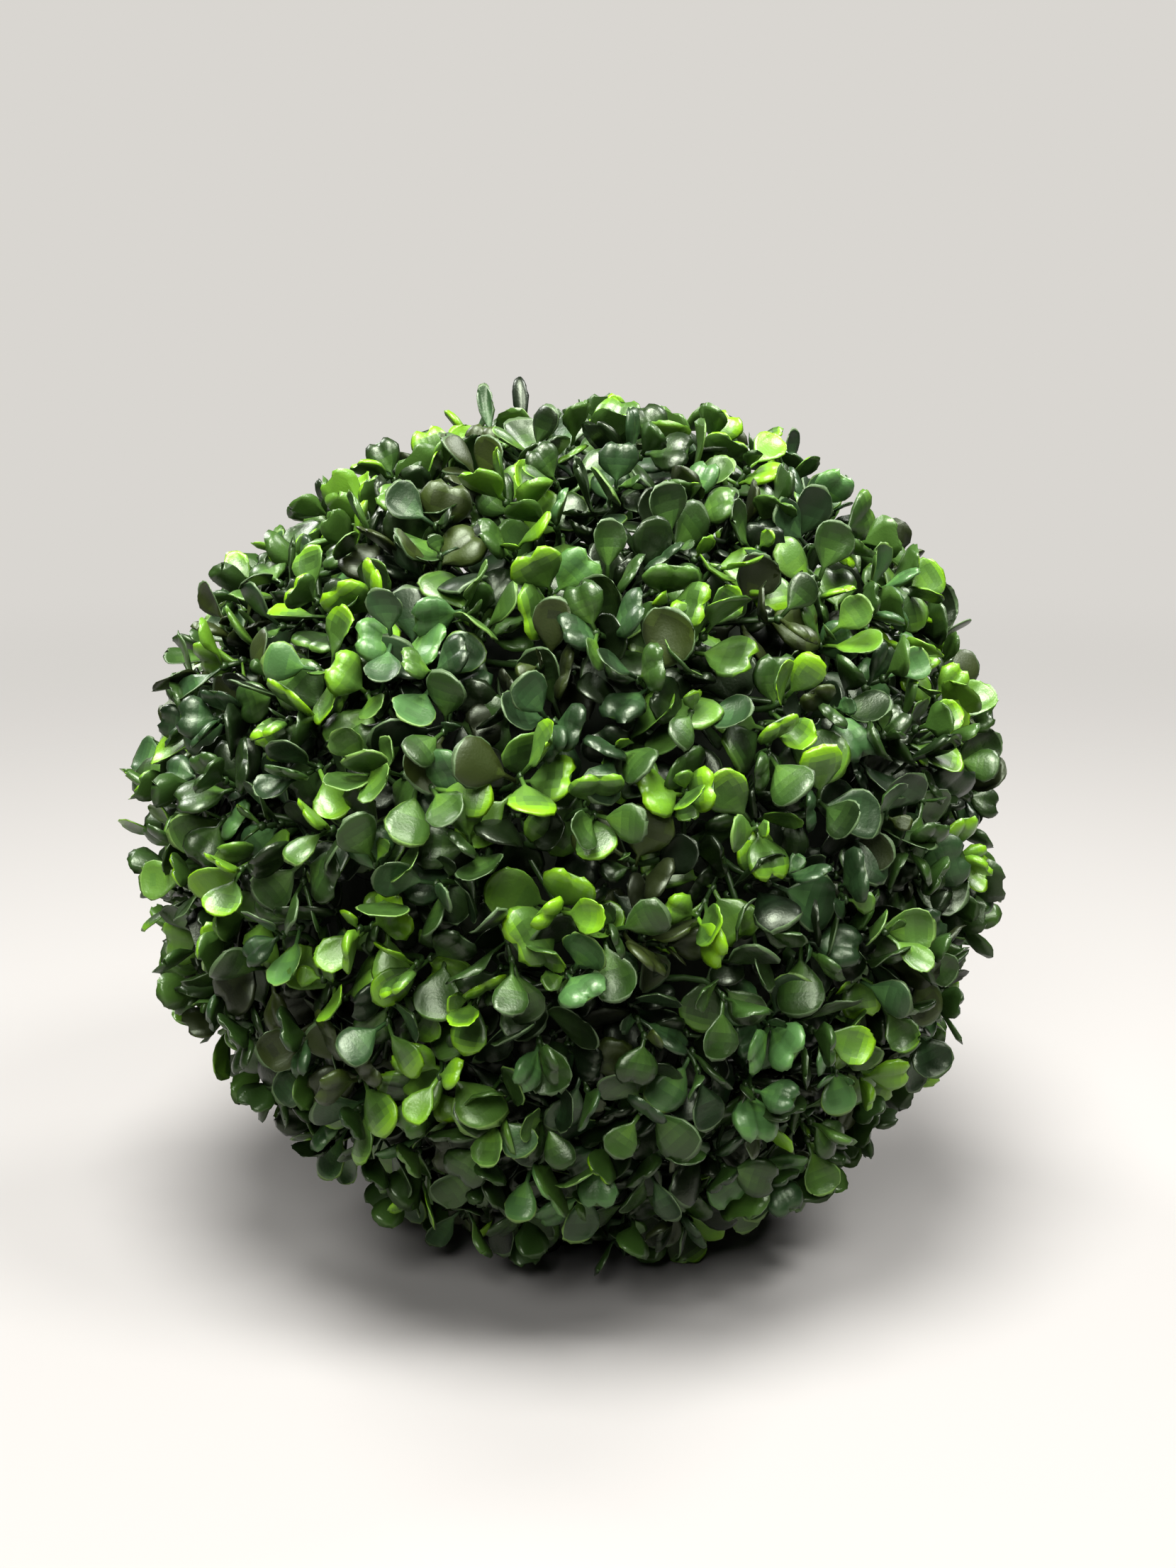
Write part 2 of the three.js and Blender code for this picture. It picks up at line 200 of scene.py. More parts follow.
# %% [markdown]
# ## Fine twigs
#
# A real spray branches on until its twig tips cover the whole surface. The tips are spread over the
# ball by a golden angle, which is the turn that never lines up with itself, and then shaken a
# little. A second, sparser set ends deeper inside and darkens the gaps. Each tip belongs to the
# wedge that it lies in, and its fine twig forks from the nearest of that spray's four main twigs,
# so it grows on by the rule above. It is a curve with three guides: its fork, a point straight
# below its tip, and the tip.
#
# Shears never leave a true ball. This one swells a few millimetres in three places, seen from the
# front, and is as much too flat between them.
#
# Geometry Nodes could scatter the tips on a sphere. Arrays were chosen, because each tip has to know
# its spray and its twig, and because the leaves that follow need to see each other.

# %% Grow the fine twigs
OUTER_TIPS, INNER_TIPS = 485, 190
TIP_DEPTH = (8.0, 14.5)                        # from the ball's surface in to a fine twig's tip
INNER_TIP_DEPTH = (21.0, 28.0)
SHAKE = 0.022                                  # of the radius, sideways
SLANT = 0.36                                   # how far a tip leans away from straight out
FORK_SHARE = (0.25, 0.85)                      # how far up its main twig a fine twig forks
STRAIGHT_END, INNER_STRAIGHT_END = 11.0, 4.0   # how far a fine twig runs straight below its tip
SWELLING = 3.2                                 # how far the ball is out of round
SWELLING_TURN = 55                             # degrees from +X up to the first swelling
FINE_STEPS = 6                                 # points on a fine twig
rng = np.random.default_rng(SEED)


def surface(out):
    """How far the clipped surface is from the middle in a direction: the radius, and a wave with
    three crests round the axis that looks to the front, which fades towards that axis with the cube
    of the distance from it."""
    x, z = out[..., 0], out[..., 2]
    wave = np.cos(3 * (np.arctan2(z, x) - np.radians(SWELLING_TURN)))
    return BALL_RADIUS + SWELLING * np.hypot(x, z) ** 3 * wave


def spread(count):
    """Directions spread evenly over the ball: heights in even steps, each turned by a golden angle
    from the one before, and then shaken."""
    step = np.arange(count)
    height = 1 - (2 * step + 1) / count
    level = np.sqrt(1 - height ** 2)
    golden = step * np.pi * (3 - math.sqrt(5))
    even = np.stack([level * np.cos(golden), level * np.sin(golden), height], axis=1)
    return unit(even + rng.normal(0, SHAKE, even.shape))


TIPS = OUTER_TIPS + INNER_TIPS
tip_inner = np.arange(TIPS) >= OUTER_TIPS
tip_out = np.concatenate([spread(OUTER_TIPS), spread(INNER_TIPS)])
tip_spray = (tip_out @ spray_out.T).argmax(axis=1)
own_twigs = twig_end[tip_spray]
tip_twig = np.einsum("tkc,tc->tk", unit(own_twigs), tip_out).argmax(axis=1)
fork_share = within(*FORK_SHARE, rng.random(TIPS))[:, None]
fork = within(twig_fork[tip_spray, tip_twig], twig_end[tip_spray, tip_twig], fork_share)
depth_share = rng.random(TIPS)
tip_depth = np.where(tip_inner, within(*INNER_TIP_DEPTH, depth_share), within(*TIP_DEPTH, depth_share))
tip = tip_out * (surface(tip_out) - tip_depth)[:, None]
tip_axis = unit(tip_out + rng.normal(0, SLANT, tip_out.shape))
guide = tip - tip_axis * np.where(tip_inner, INNER_STRAIGHT_END, STRAIGHT_END)[:, None]


def curve_point(share):
    """Points on the fine twigs: the quadratic curve from the fork to the tip, pulled to the guide."""
    share = share[None, :, None]
    return ((1 - share) ** 2 * fork[:, None] + 2 * share * (1 - share) * guide[:, None]
            + share ** 2 * tip[:, None])


fine_paths = curve_point(np.linspace(0, 1, FINE_STEPS))
print("fine twigs:", TIPS, "at most on one spray:", np.bincount(tip_spray).max())

# %% [markdown]
# ## The places of the leaves
#
# Box leaves grow in pairs, each pair turned by a quarter from the one before. Here a fine twig ends
# in a pair of young leaves that stand steeply, with two pairs of full ones below, and now and then
# a fourth pair deep inside. Three kinds come out of the moulds: a spoon, which is a cupped round
# leaf, a heart, which is a pillow with two lobes, and a small round bud.

# %% Deal out the leaves
PAIR_DEPTH = np.array([0.5, 6.4, 12.6, 18.8])  # of each pair, below the tip
PAIR_LEAN = np.array([38.0, 56.0, 66.0, 74.0])
PAIR_SIZE = np.array([0.84, 1.0, 1.04, 1.0])
PAIR_SHARE = np.array([1.0, 1.0, 1.0, 0.4])  # of the fine twigs that have it
INNER_PAIRS = 2
KINDS = ("spoon", "heart", "bud")
SPOON, HEART = 0, 1                            # their places in that list
KIND_SHARE = np.array([[0.40, 0.40, 0.20], [0.52, 0.42, 0.06], [0.56, 0.40, 0.04], [0.6, 0.4, 0.0]])
LENGTH = np.array([20.5, 17.2, 9.6])           # of each kind, with its stalk
WIDTH = np.array([13.2, 15.0, 7.2])
SIZE_SPREAD, SIZE_RANGE = 0.08, (0.8, 1.2)     # a leaf's size beside the others of its kind
WIDTH_SPREAD, WIDTH_RANGE = 0.09, (0.78, 1.15)
TURN_SPREAD, LEAN_SPREAD, ROLL_SPREAD = 12, 13, 26  # degrees

pairs = len(PAIR_DEPTH)
shape = (TIPS, pairs, 2)
has_pair = rng.random((TIPS, pairs)) < PAIR_SHARE
has_pair &= ~tip_inner[:, None] | (np.arange(pairs) < INNER_PAIRS)
present = np.broadcast_to(has_pair[..., None], shape)
leaf_tip, leaf_pair, leaf_side = (grid[present] for grid in np.indices(shape))
count = len(leaf_tip)
pick = rng.random(count)[:, None] > KIND_SHARE.cumsum(axis=1)[leaf_pair]
leaf_kind = pick[:, :2].sum(axis=1)
size = PAIR_SIZE[leaf_pair] * rng.normal(1, SIZE_SPREAD, count).clip(*SIZE_RANGE)
leaf_length = LENGTH[leaf_kind] * size
leaf_width = WIDTH[leaf_kind] * size * rng.normal(1, WIDTH_SPREAD, count).clip(*WIDTH_RANGE)
leaf_axis = tip_axis[leaf_tip]
leaf_base = tip[leaf_tip] - leaf_axis * PAIR_DEPTH[leaf_pair][:, None]
tip_turn = rng.random(TIPS) * 360
leaf_turn = tip_turn[leaf_tip] + 90 * leaf_pair + 180 * leaf_side + rng.normal(0, TURN_SPREAD, count)
leaf_lean = PAIR_LEAN[leaf_pair] + rng.normal(0, LEAN_SPREAD, count)
leaf_roll = rng.normal(0, ROLL_SPREAD, count)
print("leaves:", count, {kind: int((leaf_kind == i).sum()) for i, kind in enumerate(KINDS)})

# %% [markdown]
# ## Making room
#
# Leaves that touch push each other aside. Every leaf stands for itself as seven points, and leaves
# crowd each other where such points come nearer than a few millimetres. In each round every leaf
# tries a slightly different turn, lean and roll, and keeps it if it is less crowded there and not
# far from how it wants to grow. All leaves are worked out at once, as whole arrays. A simulation
# could press them apart too, but it would have to collide thousands of thin leaves. It was not tried.

# %% Settle the leaves
ROUNDS = 22
NEIGHBOURS = 26
GAP = 4.7                                      # two points nearer than this crowd each other
EASE = (60, 40, 60)                            # degrees of turn, lean and roll that strain a leaf by one
OUTSIDE_PRICE, STRAIN_PRICE = 0.5, 0.5         # beside the price of being crowded
TRIAL_STEP = np.array([22, 14, 20])            # degrees of turn, lean and roll in a first trial
STEP_LOSS = 0.6                                # how much smaller the last trials are
LEAN_RANGE = (18, 105)
TRIAL_SHARE = 0.7                              # of the leaves, that may move in one round
SAMPLE = np.array([[0.35, 0], [0.7, 0], [1, 0], [0.68, 0.42], [0.68, -0.42], [0.9, 0.3], [0.9, -0.3]])


def leaf_frames(axis, base, turn, lean, roll):
    """How leaves lie: ahead from neck to tip, across, and the way the face looks. A leaf leans from
    its twig by an angle in a plane that is turned round the twig. Its face looks as far as the lean
    allows to where it gets light, midway between straight out and along its twig, and is then
    rolled about the leaf's own length."""
    east, north = compass(axis)
    turn, lean, roll = np.radians(turn), np.radians(lean), np.radians(roll)
    ahead = swung(axis, swung(east, north, turn), lean)
    lit = unit(base) + axis
    face = unit(lit - ahead * np.einsum("nc,nc->n", lit, ahead)[:, None])
    face = swung(face, np.cross(ahead, face), roll)
    return ahead, np.cross(face, ahead), face


def sample_points(pose):
    """The seven points that stand for each leaf, in its plane."""
    ahead, across, _ = leaf_frames(leaf_axis, leaf_base, *pose)
    along = SAMPLE[None, :, :1] * leaf_length[:, None, None] * ahead[:, None]
    return leaf_base[:, None] + along + SAMPLE[None, :, 1:] * leaf_width[:, None, None] * across[:, None]


def cost(points, pose, wish, all_points):
    """How crowded each leaf is, how far it stands out of the ball, and how far from its wish it is."""
    near = all_points[neighbours]
    square = ((points ** 2).sum(-1)[:, None, :, None] + (near ** 2).sum(-1)[:, :, None]
              - 2 * np.einsum("nsc,nmtc->nmst", points, near))
    gap = np.sqrt(square.clip(0))
    crowd = ((1 - gap / GAP).clip(0) ** 2).sum(axis=(1, 2, 3))
    proud = np.linalg.norm(points, axis=-1) - surface(unit(points)) - ROUGHNESS
    outside = proud.max(axis=1).clip(0)
    strain = sum(((now - first) / ease) ** 2 for now, first, ease in zip(pose, wish, EASE))
    return crowd + OUTSIDE_PRICE * outside + STRAIN_PRICE * strain


wish = np.stack([leaf_turn, leaf_lean, leaf_roll])
pose = wish.copy()
points = sample_points(pose)
centres = points.mean(axis=1)
flat = (centres ** 2).sum(1)
apart = flat[:, None] + flat[None] - 2 * centres @ centres.T
np.fill_diagonal(apart, np.inf)
neighbours = np.argpartition(apart, NEIGHBOURS, axis=1)[:, :NEIGHBOURS]
price = cost(points, pose, wish, points)
print("mean crowding before:", price.mean().round(3))
for round_number in range(ROUNDS):
    reach = 1 - STEP_LOSS * round_number / ROUNDS
    trial = pose + rng.normal(0, 1, pose.shape) * reach * TRIAL_STEP[:, None]
    trial[1] = trial[1].clip(*LEAN_RANGE)
    trial_points = sample_points(trial)
    better = cost(trial_points, trial, wish, points) < cost(points, pose, wish, points)
    better &= rng.random(count) < TRIAL_SHARE
    pose[:, better] = trial[:, better]
    points[better] = trial_points[better]
print("mean crowding after:", cost(points, pose, wish, points).mean().round(3))
leaf_ahead, leaf_across, leaf_face = leaf_frames(leaf_axis, leaf_base, *pose)

# %% [markdown]
# ## Two tall leaves
#
# The shears missed two young shoots near the top. The rule gives each an azimuth and an elevation,
# and how far its tip reaches. The leaf at its end is narrow and stands up, its foot a little nearer
# the front than its tip.

# %% Add the two tall leaves
TALL_AZIMUTH, TALL_ELEVATION = np.array([165.0, 156.0]), np.array([77.9, 82.3])
TALL_REACH = np.array([147.2, 147.9])
TALL_LENGTH, TALL_WIDTH = 20.0, 5.2
TALL_BACK = 5.0                                # how far its tip stands behind its foot
TALL_PAINTED_SHADE_PAIR = [2, 3]                             # painted shade: as dark as the leaves of those pairs, as they stand against the light
FRONT = np.array([0.0, -1.0, 0.0])

tall_tip = bearing(TALL_AZIMUTH, TALL_ELEVATION) * TALL_REACH[:, None]
tall_foot = tall_tip - unit(tall_tip) * TALL_LENGTH + FRONT * TALL_BACK
tall_spray = (unit(tall_tip) @ spray_out.T).argmax(axis=1)
tall_paths = np.stack([spray_out[tall_spray] * STEM_TOP, tall_foot], axis=1)
tall_ahead = unit(tall_tip - tall_foot)
tall_face = unit(FRONT - tall_ahead * (tall_ahead @ FRONT)[:, None])

leaf_tip = np.append(leaf_tip, (unit(tall_tip) @ tip_out.T).argmax(axis=1))
leaf_kind = np.append(leaf_kind, [SPOON, SPOON])
leaf_pair = np.append(leaf_pair, TALL_PAINTED_SHADE_PAIR)
leaf_length = np.append(leaf_length, np.linalg.norm(tall_tip - tall_foot, axis=1))
leaf_width = np.append(leaf_width, [TALL_WIDTH, TALL_WIDTH])
leaf_base = np.concatenate([leaf_base, tall_foot])
leaf_ahead = np.concatenate([leaf_ahead, tall_ahead])
leaf_across = np.concatenate([leaf_across, np.cross(tall_face, tall_ahead)])
leaf_face = np.concatenate([leaf_face, tall_face])
is_tall = np.arange(count + 2) >= count
count += 2
print("tall leaves end at", (tall_tip + MIDDLE).round(1).tolist())

# %% [markdown]
# ## The shape of a leaf
#
# A leaf is a thin closed shell on a grid. One parameter, the station, runs from the foot of its
# stalk to its tip, and the other, the flank, runs across it from -1 to 1. Behind the widest place
# the blade narrows to its stalk. In front of it the grid is laid on half a disc, so the end of the
# grid becomes the round tip. The heart's notch pulls the middle of that end back. The underside
# shares the rim with the upper side, and has only a few rows of two points of its own. Each kind has
# its own grid: a spoon's is finest towards the tip, where its colour changes, a heart's has flanks
# close to its middle, for the groove between its lobes, and a bud's is coarse.
#
# An outline drawn by hand and thickened by a Solidify modifier could make one leaf well. A formula
# was chosen, because it lets every leaf have its own size, curl, bow, sway and twist.

# %% The shape of a leaf
STATIONS = [np.array([0, 0.27, 0.40, 0.55, 0.69, 0.80, 0.88, 0.95, 1]),
            np.array([0, 0.2, 0.36, 0.52, 0.66, 0.8, 0.94, 1]),
            np.array([0, 0.24, 0.44, 0.66, 0.88, 1])]
FLANKS = [np.array([-1, -0.93, -0.63, -0.32, 0, 0.32, 0.63, 0.93, 1]),
          np.array([-1, -0.91, -0.56, -0.19, 0, 0.19, 0.56, 0.91, 1]),
          np.array([-1, -0.6, 0, 0.6, 1])]
UNDER_ROWS = [[1, 3, 6], [1, 4, 6], [1, 3]]    # the stations at which the underside has points
UNDER_FLANKS = np.array([-0.5, 0.5])
NECK = np.array([0.26, 0.2, 0.24])             # the stalk's share of the length, for each kind
WIDEST = np.array([0.68, 0.64, 0.66])
STALK = np.array([0.62, 0.62, 0.5])            # the stalk's half width
SHOULDER = np.array([1.2, 0.8, 0.9])           # under 1 the blade widens fast from its neck
NOTCH, NOTCH_WIDTH, FULL_FRONT = 0.44, 0.3, 0.05  # a heart's notch, and how full its lobes are
GROOVE, GROOVE_WIDTH = (0.25, 0.60), 0.17      # its depth in a heart's lobes, at the neck and the tip
SHEET, HEART_RIM = 0.32, 0.3                   # half a spoon's thickness, and a heart's rim over its middle
BEAD, BEAD_PLACE, BEAD_WIDTH = 0.24, 0.93, 0.06  # how high a spoon's bead is, and where it runs


def smooth(share):
    """From 0 to 1 with a soft start and a soft end."""
    share = np.clip(share, 0, 1)
    return share * share * (3 - 2 * share)


def leaf_shape(chosen, stations, flanks):
    """The chosen leaves at a grid of stations and flanks: how far ahead and across each point lies,
    and how high the two sides of the shell are there.

    Seen from above, half the width follows a quarter of a sine from the neck to the widest place.
    Beyond it, a square grid is drawn on to half a disc by shortening each side by the root of one
    less half the other's square. The whole leaf may sway to one side with the square of its length.

    A spoon is a thin sheet: its rim curls up or down with the square of the flank and ends in a
    raised bead. A heart is a pillow with two lobes, whose sides are steep, and the groove between
    them is a narrow bell that deepens towards the notch. Both bow back with the square of the length
    and twist a little, and the stalk is a round rod that they run into."""
    kind, length, width = (values[chosen][:, None, None] for values in (leaf_kind, leaf_length, leaf_width))
    cup, bow, dome, ripple, sway, twist = (values[chosen][:, None, None] for values in character)
    s, v = stations[None, :, None], flanks[None, None, :]
    neck, widest = NECK[kind], WIDEST[kind]
    blade = np.clip((s - neck) / (widest - neck), 0, 1)
    front = np.clip((s - widest) / (1 - widest), 0, 1)
    along = np.clip((s - neck) / (1 - neck), 0, 1)
    rim = np.maximum(np.abs(v), front)

    stalk_half = STALK[kind] / (width / 2)
    half = stalk_half + (1 - stalk_half) * np.sin(blade * np.pi / 2) ** SHOULDER[kind]
    notch = (kind == HEART) * (NOTCH * np.exp(-(v / NOTCH_WIDTH) ** 2) - FULL_FRONT) * front ** 2
    end = (1 - widest) * front * (np.sqrt(1 - v ** 2 / 2) - notch)
    ahead = length * (np.minimum(s, widest) + end)
    across = width / 2 * v * half * np.sqrt(1 - front ** 2 / 2) + sway * along ** 2

    stalk = STALK[kind] * (1 - smooth(along / 0.55)) * np.sqrt(1 - v ** 2)
    edge = np.sqrt(np.clip(1 - rim ** 8, 0, 1))
    bead = BEAD * np.exp(-((rim - BEAD_PLACE) / BEAD_WIDTH) ** 2) * smooth(along / 0.3)
    curl = cup * np.maximum(v ** 2, front ** 2 * 0.8) * smooth(along / 0.6)
    bend = -bow * along ** 2 + ripple * np.sin(3 * v + 5 * along) * along + twist * v * along
    sheet = SHEET * smooth(along / 0.25)
    groove = within(*GROOVE, smooth(along)) * np.exp(-(v / GROOVE_WIDTH) ** 2)
    lobe = (1 - groove) * np.clip(1 - np.abs(v) ** 3.4, 0, 1) ** 0.5
    pillow = dome * lobe * np.sqrt(np.clip(1 - front ** 2.4, 0, 1)) * smooth(along / 0.5)
    middle = curl + bend
    upper = middle + stalk + np.where(dome > 0, pillow + HEART_RIM * edge, (sheet + bead) * edge)
    lower = middle - stalk - sheet * edge
    return ahead, across, upper, lower


CUP_WAYS, HEART_CUP = (1.0, 1.0, -0.7), 0.25   # most rims curl up, some down, and a heart's hardly
HEART_SUPPLE = 0.4                             # a heart is thick, so it bends less
CURL = (0.9, 3.2)                              # how far the rim of a full leaf curls
BOW = (-0.8, 3.2)                              # how far the tip bows back
DOME = (1.5, 2.7)                              # how high a heart's lobes rise
RIPPLE = (-0.3, 0.3)                           # how far the blade ripples
SWAY, TWIST = 0.7, 0.7                         # how far it sways to a side, or a flank is twisted up

is_heart = leaf_kind == HEART
relative = leaf_length / LENGTH[0]
cup_way = np.where(is_heart, HEART_CUP, rng.choice(CUP_WAYS, count))
supple = np.where(is_heart, HEART_SUPPLE, 1.0) * relative
character = np.stack([
    cup_way * rng.uniform(*CURL, count) * relative,
    rng.uniform(*BOW, count) * supple,
    np.where(is_heart, rng.uniform(*DOME, count), 0),
    rng.uniform(*RIPPLE, count) * supple,
    rng.normal(0, SWAY, count) * supple,
    rng.normal(0, TWIST, count) * supple,
])
for kind_name, stations, flanks in zip(KINDS, STATIONS, FLANKS):
    print("grid of a", kind_name, len(stations), "stations by", len(flanks), "flanks")

# %% [markdown]
# ## Building the leaves as meshes
#
# The points of all leaves of a piece are one array, and so are their faces: the template's faces,
# shifted by the points of one leaf each time. The upper side has a quad in each cell of its grid.
# The underside is coarser: its faces run from one pair of its own points to the next, and out to
# every rim point between them, so that the shell is closed. Instances of one leaf would be lighter,
# but this part's export drops instances, and all of them would have one and the same shape.

# %% Faces of the template
def leaf_faces(kind):
    """The faces of a kind's leaf as lists of point numbers, the upper side's quads first. The grid's
    points are numbered row by row, and the underside's pairs come after them."""
    rows, columns = len(STATIONS[kind]), len(FLANKS[kind])
    grid = np.arange(rows * columns).reshape(rows, columns)
    i, j = (cell.ravel() for cell in np.mgrid[0:rows - 1, 0:columns - 1])
    upper = np.stack([grid[i, j], grid[i + 1, j], grid[i + 1, j + 1], grid[i, j + 1]], axis=1)

    stops = UNDER_ROWS[kind]
    left, right = rows * columns + np.arange(2 * len(stops)).reshape(-1, 2).T
    rim_left, rim_right, tip_row = grid[:, 0], grid[:, -1], grid[-1]
    first, last, middle = stops[0], stops[-1], columns // 2
    under = [grid[0], [rim_left[0], rim_right[0], right[0], left[0]],
             [rim_left[0], left[0], *rim_left[first:0:-1]],
             [right[0], *rim_right[:first + 1]],
             [rim_left[last], left[-1], *rim_left[:last:-1]],
             [right[-1], *rim_right[last:]],
             [left[-1], right[-1], *tip_row[middle + 1:middle - 2:-1]]]
    for k, (back, fore) in enumerate(zip(stops[:-1], stops[1:])):
        under.append([left[k], right[k], right[k + 1], left[k + 1]])
        under.append([rim_left[back], left[k], left[k + 1], *rim_left[fore:back:-1]])
        under.append([right[k], *rim_right[back:fore + 1], right[k + 1]])
    for k in range(middle - 1):
        under.append([left[-1], tip_row[k + 1], tip_row[k]])
        under.append([right[-1], tip_row[-1 - k], tip_row[-2 - k]])
    return [np.array(face) for face in [*upper, *under]]


LEAF_FACES = [leaf_faces(kind) for kind in range(len(KINDS))]
for kind_name, faces in zip(KINDS, LEAF_FACES):
    print("a", kind_name, "has", len(faces), "faces")

# %% [markdown]
# ## Plastics and their colours
#
# The leaves are polyethylene, coloured right through and moulded in polished steel. That gives a
# satin surface with soft white highlights and a very faint grain, which breaks the highlights up.
# The colour is sprayed or mixed in from a dark green to a lime green, so each step of that range is
# a plain colour of its own, and a leaf's faces take the steps. A second range is bluer and stops
# short of lime, a third is a dull olive, and two pale greens are for thin rims. Hex values are as on
# a screen, and one function turns them to linear light.
#
# A colour attribute could blend more smoothly over a leaf, but each face has a plain colour instead.
# But this part's export muddles where a pattern falls on a piece of many joined leaves, so each face
# has a plain colour instead.

# %% Materials
GREEN_KEYS = ["#060f02", "#1e3210", "#3b581f", "#4e7418", "#5d850c"]
COOL_KEYS = ["#060f04", "#1c3018", "#36552b", "#507a2e"]
OLIVE_KEYS = ["#0a0e02", "#1f2806", "#35440f"]
PALES = ["#38492c", "#4f6a2e"]
GREEN_STEPS, COOL_STEPS, OLIVE_STEPS = 24, 16, 6


def ramp(codes, steps):
    """Screen colours in hex, evenly spaced on the straight lines between those of the codes."""
    keys = np.array([[int(code[i:i + 2], 16) for i in (1, 3, 5)] for code in codes])
    place = np.linspace(0, len(codes) - 1, steps)
    channels = [np.interp(place, range(len(codes)), keys[:, i]).round().astype(int) for i in range(3)]
    return ["#%02x%02x%02x" % tone for tone in zip(*channels)]


def linear(code):
    """A screen colour in hex as red, green, blue and alpha in linear light, by the sRGB curve."""
    channels = np.array([int(code[i:i + 2], 16) for i in (1, 3, 5)]) / 255
    dark = channels / 12.92
    light = ((channels + 0.055) / 1.055) ** 2.4
    return (*np.where(channels <= 0.04045, dark, light).tolist(), 1.0)


def add(tree, kind, inputs, **settings):
    """Adds a node with its settings. An input is a value, or an output that gets linked to it."""
    made = tree.nodes.new(kind)
    for name, value in settings.items():
        setattr(made, name, value)
    for name, value in inputs.items():
        if isinstance(value, bpy.types.NodeSocket):
            tree.links.new(value, made.inputs[name])
        else:
            made.inputs[name].default_value = value
    return made


GLOSS = "#dbe7cb"                              # the reflections are tinged by the plastic's own green
SHEEN = 0.51                                   # the mould's polish leaves more than the usual 0.5


def moulded_polyethylene(name, code, roughness, grain_size=0.8, grain_depth=0.07):
    """Satin plastic with a faint grain: its size and depth are in millimetres."""
    material = bpy.data.materials.new(name)
    material.use_nodes = True
    tree = material.node_tree
    tree.nodes.clear()
    place = add(tree, "ShaderNodeTexCoord", {}).outputs["Object"]
    grain = add(tree, "ShaderNodeTexNoise", {"Vector": place, "Scale": 1 / (grain_size * MM), "Detail": 2.0})
    relief = add(tree, "ShaderNodeBump", {"Height": grain.outputs["Fac"], "Distance": grain_depth * MM})
    shader = add(tree, "ShaderNodeBsdfPrincipled", {
        "Base Color": linear(code), "Roughness": roughness, "IOR": 1.5, "Normal": relief.outputs["Normal"],
        "Specular Tint": linear(GLOSS), "Specular IOR Level": SHEEN})
    add(tree, "ShaderNodeOutputMaterial", {"Surface": shader.outputs["BSDF"]})
    return material


tones = []
for shade, codes, roughness in (("green", ramp(GREEN_KEYS, GREEN_STEPS), 0.35),
                                ("cool", ramp(COOL_KEYS, COOL_STEPS), 0.37),
                                ("olive", ramp(OLIVE_KEYS, OLIVE_STEPS), 0.45), ("pale", PALES, 0.45)):
    tones += [moulded_polyethylene(f"polyethylene_{shade}_{i:02d}", code, roughness)
              for i, code in enumerate(codes)]
COOL, OLIVE = GREEN_STEPS, GREEN_STEPS + COOL_STEPS
PALE = OLIVE + OLIVE_STEPS
COOL_TOP = 0.75                                # a cool leaf never gets brighter than this share
twig_plastic = moulded_polyethylene("polyethylene_twig", "#16290a", 0.42, grain_size=1.2, grain_depth=0.08)
# Near black and dull: partly the core's own dark plastic, partly painted shade in the gaps.
core_plastic_and_shade = moulded_polyethylene("polyethylene_core_and_shade", "#040a02", 0.85, grain_size=2.0, grain_depth=0.1)
print("materials:", len(bpy.data.materials))

# %% [markdown]
# ## Which leaf is which green
#
# Most leaves are dark with a green glow where the blade leaves its neck, and a thin pale rim. Some are lime
# at their tips and rims, a few are lime all over, and some are olive. Lime ones come in clusters. Each
# cluster is a spot on the ball, given as an azimuth and an elevation on the side that is seen first, and
# drawn at random elsewhere. Some sprays also have more lime leaves than others, and a fine twig is coloured
# as one. Two twigs in five are of the bluer green. The pairs low on a twig, and the leaves of the fine twigs
# that end deeper inside, are darkened by painted shade, and under it the deepest ones hardly show their
# markings.

# %% Deal out the tones
FAMILIES = ("dark", "middle", "tipped", "lime", "olive")
DARK, MIDDLE_GREEN, DULL_OLIVE = 0, 1, 4       # places in that list, as in the lists of shares and tones
OLD_SHARE = np.array([0.62, 0.20, 0.06, 0.01, 0.11])
FRESH_SHARE = np.array([0.48, 0.24, 0.16, 0.04, 0.08])
YOUNG_SHARE = np.array([0.13, 0.17, 0.45, 0.22, 0.03])
YOUNG_SPOTS = [(292, 31), (283, 23), (264, 7), (253, -6), (221, 2), (252, 64), (336, 23), (262, 17),
               (309, -54), (312, -16), (259, 48), (240, -4), (227, 36), (302, -34), (344, 42),
               (250, -24), (289, 39)]
SPOTS_ELSEWHERE = 34
SPOT_RADIUS = (6.0, 9.5)                       # degrees
SPOT_SHAKE = 0.15                              # of the radius
SEEN_FIRST = -0.2                              # a spot further to the front than this is in the list
# The tones below are shares of the way along a range, from dark to bright.
BASE = np.array([0.17, 0.33, 0.29, 0.63, 0.30])
GLOW = np.array([0.27, 0.27, 0.24, -0.09, 0.26])
TIP_GAIN = np.array([0.0, 0.14, 0.58, 0.22, 0.18])
RIM_GAIN = np.array([0.0, 0.06, 0.14, 0.06, 0.10])
OWN_SHARE = 0.4                                # of the leaves, that differ from their fine twig
LEAF_SPREAD = 0.06
EDGE_SHARE = 0.26                              # a pale tip is a crescent: how far it follows the rim
CRESCENT_START, CRESCENT_SPREAD, CRESCENT_SOFT = 0.46, 0.10, 0.50
CRESCENT_SLANT = 0.07                          # how much further in it reaches on one flank
GLOW_PLACE, GLOW_LENGTH, GLOW_WIDTH = 0.15, 0.38, 0.85  # along the blade, and across it
RIM_FROM = 0.9                                 # a thin pale rim begins at this share of the half width
PAIR_PAINTED_SHADE = np.array([0.03, 0.0, -0.12, -0.28])  # painted shade and light: a pair deeper on its twig is darker, the top pair a little lighter
INNER_PAINTED_SHADE = -0.30                            # painted shade on the leaves of the fine twigs that end deeper inside
MARK_LOSS = 3.0                                # how fast the painted shade takes a leaf's markings away
